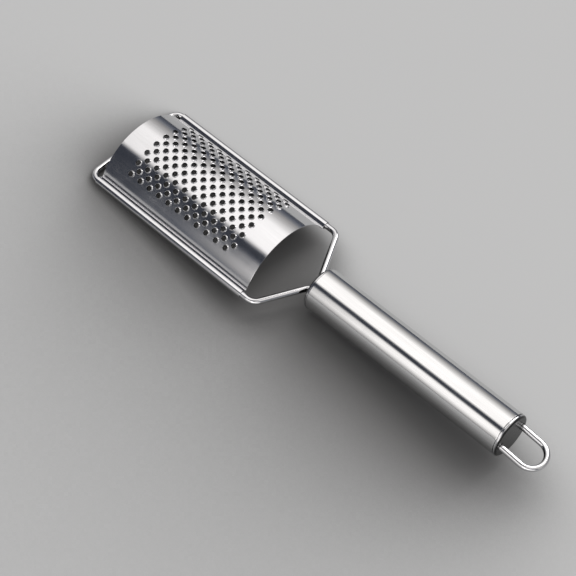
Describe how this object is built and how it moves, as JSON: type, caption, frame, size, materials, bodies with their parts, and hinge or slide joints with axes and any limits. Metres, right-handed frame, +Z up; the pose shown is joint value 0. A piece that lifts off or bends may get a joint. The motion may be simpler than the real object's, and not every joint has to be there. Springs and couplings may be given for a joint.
{
  "type": "hand grater",
  "caption": "Hand grater with an arched perforated steel plate hemmed onto a bent wire frame, a hollow round handle and a wire hanging loop.",
  "frame": {"origin": "centre of the bounding box at its bottom, on the surface that the grater lies on", "axes": "+X from the far end of the frame towards the hanging loop, +Z up; the handle rises towards the loop at the angle at which the grater lies on a table"},
  "size_m": [0.2348, 0.055, 0.0284],
  "materials": {
    "plate_steel": "bright rolled stainless sheet with faint lengthwise grain",
    "wire_steel": "polished stainless wire",
    "handle_steel": "satin polished stainless tube",
    "cap_steel": "pressed stainless cap with a rounded bright rim",
    "weld_steel": "dull stainless weld fillet"
  },
  "bodies": {
    "root": {"grater_plate": "plate_steel", "frame_wire": "wire_steel", "handle_tube": "handle_steel", "front_cap": "cap_steel", "rear_cap": "cap_steel", "hanging_loop": "wire_steel", "front_weld_left": "weld_steel", "front_weld_right": "weld_steel", "rear_weld_left": "weld_steel", "rear_weld_right": "weld_steel"}
  },
  "joints": []
}
